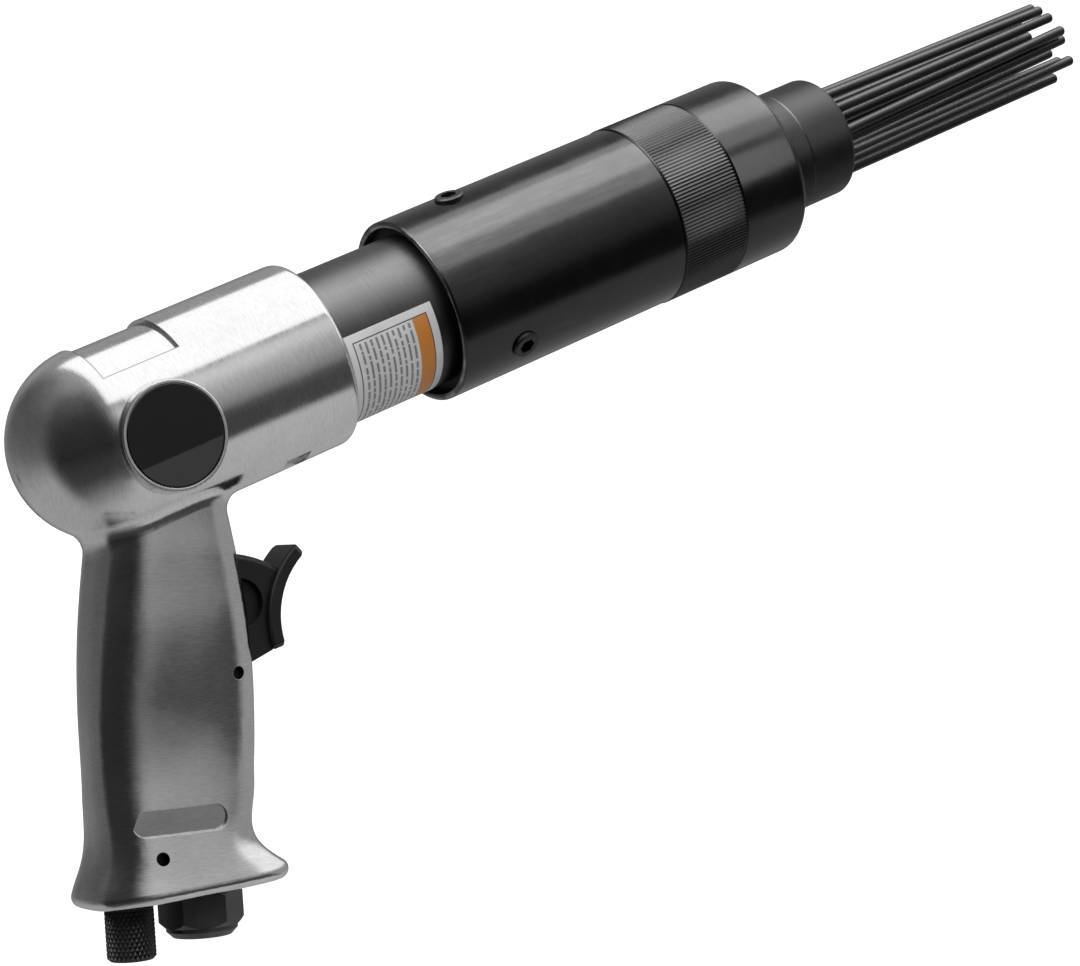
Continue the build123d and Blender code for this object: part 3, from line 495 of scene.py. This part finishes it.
def polished_aluminium():
    """Rings on the barrel end and lines across the grip, on a surface that waves a little."""
    material, tree, shader, place = start_finish("polished_aluminium", metallic=1.0)
    offset = put(tree, "ShaderNodeVectorMath", {0: place, 1: GRIP_ORIGIN}, operation="SUBTRACT").outputs[0]
    along = dot(tree, offset, GRIP_DOWN)
    ahead = dot(tree, offset, GRIP_FORWARD)
    side = put(tree, "ShaderNodeSeparateXYZ", {0: place}).outputs["Y"]
    across = put(tree, "ShaderNodeCombineXYZ", {0: along, 1: ahead, 2: side}).outputs[0]
    on_grip = soft_ramp(tree, along, *GRIP_START)
    round_marks = effect(tree, TOOL_MARKS, place=place, **ROUND_MARKS)
    cross_marks = effect(tree, TOOL_MARKS, place=across, **CROSS_MARKS)
    marks = mix_values(tree, on_grip, round_marks, cross_marks)
    patches = effect(tree, SMUDGES, place=place, size=ALUMINIUM_PATCH)
    waves = effect(tree, WAVES, place=place, size=ALUMINIUM_WAVE)
    # Painted shade: the colour goes near black inside the two pin holes.
    holes = math_node(tree, "MAXIMUM", pin_hole_shade(tree, ahead, along, "trigger_pin"),
                      pin_hole_shade(tree, ahead, along, "regulator_pin"))
    shade = math_node(tree, "MULTIPLY_ADD", marks, MARK_SHARE, product(tree, patches, 1 - MARK_SHARE))
    colour = mix_colours(tree, shade, grey(ALUMINIUM_DARK), grey(ALUMINIUM_BRIGHT))
    # Painted reflection: a thin darker grey along the recess rim.
    colour = mix_colours(tree, recess_rim_reflection(tree, place), colour, grey(RIM_REFLECTION_GREY))
    tree.links.new(mix_colours(tree, holes, colour, grey(HOLE_SHADE_GREY)), shader.inputs["Base Color"])
    rough = math_node(tree, "MULTIPLY_ADD", patches, PATCH_ROUGHNESS, ALUMINIUM_ROUGHNESS)
    rough = math_node(tree, "MULTIPLY_ADD", marks, MARK_ROUGHNESS, rough)
    tree.links.new(rough, shader.inputs["Roughness"])
    wave_depth = mix_values(tree, on_grip, BARREL_WAVE_DEPTH, GRIP_WAVE_DEPTH)
    height = math_node(tree, "MULTIPLY_ADD", marks, MARK_DEPTH, product(tree, waves, wave_depth))
    set_bump(tree, shader, height, 1.0, corner=CASTING_CORNER)
    return material


casing_finish = polished_aluminium()
print(casing_finish.name, "has", len(casing_finish.node_tree.nodes), "nodes")

# %% [markdown]
# The steel pieces are turned on a lathe and then blackened, so fine rings run round the axis. Handling adds
# scuffs along the axis. One function serves them all, with a darker and a lighter grey, a gloss and a list
# of rubbed edges. Moulded, rubber and blasted pieces have no rings, so a second function gives them an
# even grain.

# %% Steel and grained finishes
BARREL_REACH = 25.0 * MM
RINGS = {"pitch": 0.18 * MM, "length": 6.0 * MM}
SCUFFS = {"pitch": 1.2 * MM, "length": 14.0 * MM}
STEEL_PATCH = 14.0 * MM
STEEL_PATCH_ROUGHNESS = 0.06
RING_ROUGHNESS = 0.04
RING_DEPTH = 0.001 * MM
RUB_WIDTH = 0.5 * MM
RUB_GREY = 0.3
GRAIN_PATCH = 12.0 * MM


def turned_steel(name, dark, bright, rough, scuff, edges=()):
    """Fine rings round the axis, scuffs along it, and rubbed edges at the given stations.

    scuff is the share of the scuffs in the shade, and the rings have the rest.
    """
    material, tree, shader, place = start_finish(name, metallic=1.0)
    axes = put(tree, "ShaderNodeSeparateXYZ", {0: place}).outputs
    turn = math_node(tree, "ARCTAN2", axes["Y"], axes["Z"])
    arc = product(tree, turn, BARREL_REACH)
    unrolled = put(tree, "ShaderNodeCombineXYZ", {0: arc, 1: axes["X"]}).outputs[0]
    rings = effect(tree, TOOL_MARKS, place=place, **RINGS)
    scuffs = effect(tree, TOOL_MARKS, place=unrolled, **SCUFFS)
    patches = effect(tree, SMUDGES, place=place, size=STEEL_PATCH)
    shade = mix_values(tree, scuff, rings, product(tree, scuffs, patches))
    colour = mix_colours(tree, shade, grey(dark), grey(bright))
    for station in edges:
        mask = effect(tree, RUBBED_EDGE, place=place, station=station, width=RUB_WIDTH)
        colour = mix_colours(tree, mask, colour, grey(RUB_GREY))
    tree.links.new(colour, shader.inputs["Base Color"])
    roughness = math_node(tree, "MULTIPLY_ADD", rings, RING_ROUGHNESS, rough)
    roughness = math_node(tree, "MULTIPLY_ADD", patches, STEEL_PATCH_ROUGHNESS, roughness)
    tree.links.new(roughness, shader.inputs["Roughness"])
    set_bump(tree, shader, rings, RING_DEPTH)
    return material


def grained(name, dark, bright, rough, size, depth, metallic=0.0, speckle=0.12):
    """Even grain of a size and a depth, with faint patches; speckle is how much the gloss varies."""
    material, tree, shader, place = start_finish(name, metallic=metallic)
    grain = effect(tree, GRAIN, place=place, size=size)
    patches = effect(tree, SMUDGES, place=place, size=GRAIN_PATCH)
    tree.links.new(mix_colours(tree, patches, grey(dark), grey(bright)), shader.inputs["Base Color"])
    tree.links.new(math_node(tree, "MULTIPLY_ADD", grain, speckle, rough), shader.inputs["Roughness"])
    set_bump(tree, shader, grain, depth)
    return material

# %% [markdown]
# The label is a printed film round the barrel. Its layout is worked out in the material: the place along
# the barrel and the arc round it are its two coordinates, and masks for the frame, the strip and the rows
# are built from them. The rows are plain grey, and noise breaks each one into dashes of its own.

# %% Label
LABEL_START = math.radians(82.0)
LABEL_SWEEP = math.radians(92.0)
LABEL_MARGIN = 2.2 * MM
LABEL_LINE = 0.3 * MM
LABEL_STRIP = 4.6 * MM
STRIP_EDGE = 0.1 * MM
ROW_MARGIN = LABEL_MARGIN + 3 * LABEL_LINE
ROW_PITCH = 1.7 * MM
ROW_BAND = (0.3 * MM, 0.7 * MM)
DASHES_PER_METRE = 700.0
DASH_EDGE = (0.42, 0.46)
FILM_ROUGHNESS = 0.38
FILM_PATCH = 8.0 * MM
FILM_DARK = 0.8
FILM_BRIGHT = 0.88
STRIP_ORANGE = (0.75, 0.28, 0.05, 1.0)
ROW_GREY = 0.05
ROW_COVER = 0.7
LINE_GREY = 0.02


def label_film():
    """White film with a dark frame, an orange strip at the front and rows of grey dashes behind it."""
    material, tree, shader, place = start_finish("label_film", roughness=FILM_ROUGHNESS)
    axes = put(tree, "ShaderNodeSeparateXYZ", {0: place}).outputs
    low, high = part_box("barrel_label")
    radius = -low.y
    reach = LABEL_SWEEP * radius
    station = axes["X"]
    angle = math_node(tree, "ARCTAN2", product(tree, axes["Y"], -1.0), axes["Z"])
    arc = product(tree, math_node(tree, "SUBTRACT", angle, LABEL_START), radius)

    def box(inset):
        """1 inside the label, inset from its edges."""
        return product(tree, inside(tree, station, low.x + inset, high.x - inset),
                       inside(tree, arc, inset, reach - inset))

    frame_line = math_node(tree, "SUBTRACT", box(LABEL_MARGIN), box(LABEL_MARGIN + LABEL_LINE))
    strip_rear = high.x - LABEL_MARGIN - LABEL_STRIP
    strip = product(tree, box(LABEL_MARGIN + LABEL_LINE),
                    soft_ramp(tree, station, strip_rear - STRIP_EDGE, strip_rear))
    row = math_node(tree, "DIVIDE", station, ROW_PITCH)
    in_row = inside(tree, product(tree, math_node(tree, "FRACT", row), MM), *ROW_BAND)
    dash_place = product(tree, arc, DASHES_PER_METRE)
    row_number = math_node(tree, "FLOOR", row)
    spot = put(tree, "ShaderNodeCombineXYZ", {0: dash_place, 1: row_number}).outputs[0]
    noise = put(tree, "ShaderNodeTexNoise", {"Vector": spot, "Scale": 1.0}).outputs[0]
    dashes = soft_ramp(tree, noise, *DASH_EDGE)
    row_area = math_node(tree, "SUBTRACT", box(ROW_MARGIN), strip)
    rows = product(tree, product(tree, in_row, dashes), math_node(tree, "MAXIMUM", row_area, 0.0))
    patches = effect(tree, SMUDGES, place=place, size=FILM_PATCH)
    colour = mix_colours(tree, patches, grey(FILM_DARK), grey(FILM_BRIGHT))
    colour = mix_colours(tree, strip, colour, STRIP_ORANGE)
    colour = mix_colours(tree, product(tree, rows, ROW_COVER), colour, grey(ROW_GREY))
    colour = mix_colours(tree, frame_line, colour, grey(LINE_GREY))
    tree.links.new(colour, shader.inputs["Base Color"])
    return material


label_finish = label_film()
print(label_finish.name, "has", len(label_finish.node_tree.nodes), "nodes")

# %% [markdown]
# ## Knurls
# Both knurls are cut in the real pieces by rolling hard wheels against them. The CAD solids stay smooth,
# because the teeth carry no fit, so the two pieces are made again here as turned surfaces: a profile is
# swept round an axis, and the radius dips where the teeth are.

# %% Turned surfaces
SHARP_ANGLE = math.radians(25.0)


def skin(name, points, closed):
    """Joins a grid of points, places along by steps around, into a surface that faces outwards.

    Each row is a ring. A closed surface joins its last ring to its first; an open one gets a middle
    point in each end ring.
    """
    places, around = points.shape[:2]
    lanes = places if closed else places - 1
    i, j = np.meshgrid(np.arange(lanes), np.arange(around), indexing="ij")
    here = i * around + j
    after = i * around + (j + 1) % around
    step = (i + 1) % places * around - i * around
    faces = np.stack([here, after, after + step, here + step], axis=-1).reshape(-1, 4).tolist()
    corners = points.reshape(-1, 3)
    if not closed:
        corners = np.vstack([corners, points[0].mean(axis=0), points[-1].mean(axis=0)])
        ring = np.arange(around)
        following = (ring + 1) % around
        last = (places - 1) * around
        first_end = np.full(around, places * around)
        faces += np.stack([first_end, following, ring], axis=-1).tolist()
        faces += np.stack([first_end + 1, last + ring, last + following], axis=-1).tolist()
    mesh = bpy.data.meshes.new(name)
    mesh.from_pydata(corners.tolist(), [], faces)
    mesh.shade_smooth()
    mesh.set_sharp_from_angle(angle=SHARP_ANGLE)
    piece = bpy.data.objects.new(name, mesh)
    bpy.context.scene.collection.objects.link(piece)
    print(name, len(corners), "points,", len(faces), "faces")
    return piece


def turned_piece(name, stations, radii, origin, axis, start, closed):
    """Points origin + axis * station + radius * (start cos a + side sin a), by profile place and angle a.

    stations has one value per profile place, radii one per place and angle.
    """
    angles = np.arange(radii.shape[1]) * 2 * np.pi / radii.shape[1]
    spokes = np.outer(np.cos(angles), start) + np.outer(np.sin(angles), axis.cross(start))
    points = np.array(origin) + stations[:, None, None] * np.array(axis) + radii[:, :, None] * spokes
    return skin(name, points, closed)

# %% [markdown]
# The cap's knurl is straight: its teeth run along the barrel, about a millimetre apart, between two thin
# grooves. One tooth takes eight samples, and the wave is a saw-tooth with clipped tips, so that each tooth
# has two flanks and a narrow flat top. The third value of each profile place says whether it has teeth.

# %% Knurled cap
CAP_TEETH = 162
TOOTH_SAMPLES = 8
TOOTH_DEPTH = 0.22 * MM
TOOTH_SLOPE = 1.25
TOOTH_FLAT = 0.05
KNURL_LENGTH = 21.5 * MM
GROOVE = 0.35 * MM
CAP_THREAD_RADIUS = 23.4 * MM
CAP_THREAD_LENGTH = 16.3 * MM
CAP_BORE = 21.05 * MM
CAP_FRONT_WALL = 4.5 * MM
CAP_MOUTH = 17.85 * MM
CAP_EDGE = 2.6 * MM
CAP_EDGE_STEPS = 10

cap_low, cap_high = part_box("front_cap")
rear, front, reach = cap_low.x, cap_high.x, cap_high.z
knurl_end = rear + KNURL_LENGTH
thread_end = rear + CAP_THREAD_LENGTH
wall_rear = front - CAP_FRONT_WALL
outside = [(rear, reach - GROOVE, 0), (rear + GROOVE, reach, 0), (rear + 2 * GROOVE, reach, 1),
           (knurl_end - 2 * GROOVE, reach, 1), (knurl_end - GROOVE, reach, 0),
           (knurl_end, reach - GROOVE, 0), (knurl_end + GROOVE, reach, 0)]
bend = np.linspace(0.0, np.pi / 2, CAP_EDGE_STEPS)
edge = np.column_stack([front - CAP_EDGE + CAP_EDGE * np.sin(bend),
                        reach - CAP_EDGE + CAP_EDGE * np.cos(bend), 0 * bend])
inside_corners = [(front, CAP_MOUTH, 0), (wall_rear, CAP_MOUTH, 0), (wall_rear, CAP_BORE, 0),
                  (thread_end, CAP_BORE, 0), (thread_end, CAP_THREAD_RADIUS, 0), (rear, CAP_THREAD_RADIUS, 0)]
profile = np.vstack([outside, edge, inside_corners])
phase = np.arange(CAP_TEETH * TOOTH_SAMPLES) / TOOTH_SAMPLES % 1.0
tooth = np.clip(TOOTH_SLOPE * np.abs(2 * phase - 1) - TOOTH_FLAT, 0.0, 1.0)
cap_radii = profile[:, 1:2] - TOOTH_DEPTH * profile[:, 2:3] * tooth
knurled_cap = turned_piece("knurled_cap", profile[:, 0], cap_radii, Vector((0, 0, 0)), Vector((1, 0, 0)),
                           Vector((0, 0, 1)), closed=True)
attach(knurled_cap, "tool_body")
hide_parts("front_cap")

# %% [markdown]
# The regulator's knob has a diamond knurl: two sets of slanting grooves cross, and the smaller of the two
# heights leaves little pyramids. Its stem goes up into the grip, with two grooves that hold the pin and
# the O-ring.

# %% Knurled knob
KNOB_RADIUS = 6.3 * MM
KNOB_EDGE = 0.8 * MM
STEM_RADIUS = 4.5 * MM
DIAMONDS = 30
DIAMOND_SAMPLES = 10
DIAMOND_DEPTH = 0.35 * MM
DIAMOND_LEAN = 0.58
DIAMOND_SLOPE = 1.4
KNOB_ROWS = 110
STEM_TOP = 93.4 * MM
KNOB_TOP = 121.0 * MM
KNOB_END = 134.9 * MM
PIN_GROOVE = (107.0 * MM, 110.8 * MM, 2.3 * MM)
SEAL_GROOVE = (113.8 * MM, 115.0 * MM, 3.4 * MM)
REGULATOR_U = -13.9986 * MM

stem = [(STEM_TOP, STEM_RADIUS)]
for start, end, root in (PIN_GROOVE, SEAL_GROOVE):
    stem += [(start, STEM_RADIUS), (start, root), (end, root), (end, STEM_RADIUS)]
stem += [(KNOB_TOP, STEM_RADIUS), (KNOB_TOP, KNOB_RADIUS - KNOB_EDGE)]
grip_rows = np.linspace(KNOB_TOP + KNOB_EDGE, KNOB_END - KNOB_EDGE, KNOB_ROWS)
knob_profile = np.vstack([stem, np.column_stack([grip_rows, np.full(KNOB_ROWS, KNOB_RADIUS)]),
                          [(KNOB_END, KNOB_RADIUS - KNOB_EDGE)]])
knob_angles = np.arange(DIAMONDS * DIAMOND_SAMPLES) / DIAMOND_SAMPLES
slant = DIAMOND_LEAN * DIAMONDS / (2 * np.pi * KNOB_RADIUS) * knob_profile[:, :1]
right_set = np.abs(2 * ((knob_angles + slant) % 1.0) - 1)
left_set = np.abs(2 * ((knob_angles - slant) % 1.0) - 1)
has_knurl = knob_profile[:, 1:2] >= KNOB_RADIUS
dips = has_knurl * (1 - np.minimum(1, DIAMOND_SLOPE * np.minimum(right_set, left_set)))
knob_radii = knob_profile[:, 1:2] - DIAMOND_DEPTH * dips
knurled_knob = turned_piece("knurled_knob", knob_profile[:, 0], knob_radii,
                            GRIP_ORIGIN + GRIP_FORWARD * REGULATOR_U, GRIP_DOWN, GRIP_FORWARD, closed=False)
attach(knurled_knob, "regulator")
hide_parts("regulator_knob")

# %% [markdown]
# ## Springs
# Two springs are pressed when the tool works: one round the needles, one behind the trigger's valve. A CAD
# spring is rigid, so the part that presses it would cut into it. Each is made again as a wire along a helix.
# Its size is measured on the CAD spring that it replaces.

# %% Springs
WIRE_SIDES = 12
STEPS_PER_TURN = 32
RETURN_WIRE = 1.3 * MM
RETURN_TURNS = 6
THROTTLE_WIRE = 0.45 * MM
THROTTLE_TURNS = 4


def coil(name, node, axis, start, wire, turns):
    """A wire along a helix: the path is middle + axis * height + radius * spoke, and the spoke turns evenly
    from start. The wire's circle stands on the spoke and the direction square to both spoke and path.

    Returns the piece, its two ends on the axis, and its length.
    """
    mesh = nodes[node].data
    corners = np.empty(3 * len(mesh.vertices))
    mesh.vertices.foreach_get("co", corners)
    side = axis.cross(start)
    measures = corners.reshape(-1, 3) @ np.array([axis, start, side]).T
    low, high = measures.min(axis=0), measures.max(axis=0)
    length = high[0] - low[0]
    radius = (high[2] - low[2]) / 2 - wire
    middle = (low + high) / 2
    axis, start, side = np.array(axis), np.array(start), np.array(side)
    centre = middle[1] * start + middle[2] * side
    angle = np.linspace(0.0, 2 * np.pi * turns, STEPS_PER_TURN * turns + 1)[:, None]
    height = np.linspace(low[0] + wire, high[0] - wire, len(angle))[:, None]
    spoke = np.cos(angle) * start + np.sin(angle) * side
    turning = np.cos(angle) * side - np.sin(angle) * start
    path = centre + height * axis + radius * spoke
    rise = (length - 2 * wire) / (2 * np.pi * turns)
    forward = (radius * turning + rise * axis) / math.hypot(radius, rise)
    square = np.cross(forward, spoke)
    around = (np.arange(WIRE_SIDES) * 2 * np.pi / WIRE_SIDES)[:, None]
    circle = np.cos(around) * spoke[:, None] + np.sin(around) * square[:, None]
    piece = skin(name, path[:, None] + wire * circle, closed=False)
    print(name, "length", round(length / MM, 2), "mm")
    return piece, [centre + low[0] * axis, centre + high[0] * axis], length


return_coil, ends, length = coil("return_coil", "return_spring", Vector((1, 0, 0)), Vector((0, 0, -1)),
                                 RETURN_WIRE, RETURN_TURNS)
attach(return_coil, "tool_body")
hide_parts("return_spring")
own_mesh(return_coil)

throttle_coil, ends, length = coil("throttle_coil", "throttle_spring", GRIP_FORWARD, -GRIP_DOWN,
                                   THROTTLE_WIRE, THROTTLE_TURNS)
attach(throttle_coil, "tool_body")
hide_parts("throttle_spring")
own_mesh(throttle_coil)

# %% [markdown]
# ## Dressing the pieces
# Each piece gets one finish, so its material list is emptied and filled with that one. The greys look very
# low, because a blackened metal reflects only a few hundredths of the light that falls on it.

# %% Assigning finishes
NOSE_GROOVE = -13.9 * MM
METAL_GRAIN = {"size": 0.4 * MM, "depth": 0.006 * MM, "metallic": 1.0}
FINE_GRAIN = {"size": 0.4 * MM, "depth": 0.003 * MM, "metallic": 1.0}
RUBBER_GRAIN = {"size": 0.4 * MM, "depth": 0.006 * MM}
PLASTIC_GRAIN = {"size": 0.35 * MM, "depth": 0.008 * MM}
GLOSS_GRAIN = {"size": 2.0 * MM, "depth": 0.0002 * MM, "speckle": 0.01}


def wear_finish(material, *pieces):
    """Gives pieces one finish."""
    for piece in pieces:
        piece.data.materials.clear()
        piece.data.materials.append(material)
    print(material.name, "on", len(pieces), "pieces")


def cad(*names):
    """The frame's objects of these names."""
    return [nodes[name] for name in names]


needles = [nodes[name] for name in sorted(nodes) if name.startswith("needle_") and name != "needle_holder"]
discs = cad("badge_disc_right", "badge_disc_left")
housing_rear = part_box("housing_tube")[0].x

wear_finish(casing_finish, nodes["handle_casing"])
wear_finish(label_finish, nodes["barrel_label"])
wear_finish(turned_steel("barrel_steel", dark=0.068, bright=0.1, rough=0.36, scuff=0.3),
            nodes["cylinder_barrel"])
wear_finish(turned_steel("black_steel", dark=0.05, bright=0.075, rough=0.14, scuff=0.7, edges=[housing_rear]),
            nodes["housing_tube"])
wear_finish(turned_steel("knurled_steel", dark=0.045, bright=0.065, rough=0.18, scuff=0.6),
            nodes["front_cap"], knurled_cap)
wear_finish(turned_steel("nose_steel", dark=0.035, bright=0.05, rough=0.38, scuff=0.6, edges=[NOSE_GROOVE]),
            nodes["nose_sleeve"])
wear_finish(turned_steel("needle_steel", dark=0.05, bright=0.08, rough=0.34, scuff=0.6), *needles)
wear_finish(grained("gloss_black", dark=0.003, bright=0.004, rough=0.01, **GLOSS_GRAIN), *discs)
wear_finish(grained("black_plastic", dark=0.008, bright=0.012, rough=0.36, **PLASTIC_GRAIN), nodes["trigger"])
wear_finish(grained("black_fittings", dark=0.05, bright=0.07, rough=0.36, **METAL_GRAIN),
            *cad("regulator_knob", "housing_set_screws"), knurled_knob)
wear_finish(grained("black_inlet", dark=0.12, bright=0.16, rough=0.4, **METAL_GRAIN), nodes["inlet_bushing"])
wear_finish(grained("rubber", dark=0.012, bright=0.02, rough=0.6, **RUBBER_GRAIN),
            *cad("barrel_seal_ring", "anvil_bumper", "regulator_seal", "inlet_gasket", "throttle_washer"))
wear_finish(grained("pin_steel", dark=0.03, bright=0.05, rough=0.4, **FINE_GRAIN),
            *cad("trigger_pin", "regulator_pin", "valve_dowel"))
wear_finish(grained("inner_steel", dark=0.35, bright=0.45, rough=0.25, **FINE_GRAIN),
            *cad("piston", "anvil", "needle_holder", "valve_disc", "valve_case", "valve_seat",
                 "return_spring", "throttle_spring", "throttle_stem", "throttle_bush", "inlet_screen"),
            return_coil, throttle_coil)

# %% [markdown]
# ## Flagging the lights
# Now that all pieces exist, each light gets its list of receivers: the pale box for the aluminium and the
# label, the bright boxes for everything dark, and the cards for the few pieces that they were placed for.

# %% Flagging the lights
pale_pieces = cad("handle_casing", "barrel_label")
dark_pieces = [node for node in nodes.values() if node not in pale_pieces]
dark_pieces += [knurled_cap, knurled_knob, return_coil, throttle_coil]
light_only(pale_box, pale_pieces)
light_only(wide_box, dark_pieces)
light_only(peak_box, dark_pieces)
light_only(cap_card, [knurled_cap, nodes["nose_sleeve"]])
light_only(disc_card, discs)
light_only(label_card, cad("barrel_label"))

# %% [markdown]
# ## The view transform
# The standard view transform keeps white white, as on a product picture.

# %% View transform
bpy.context.scene.view_settings.view_transform = "Standard"
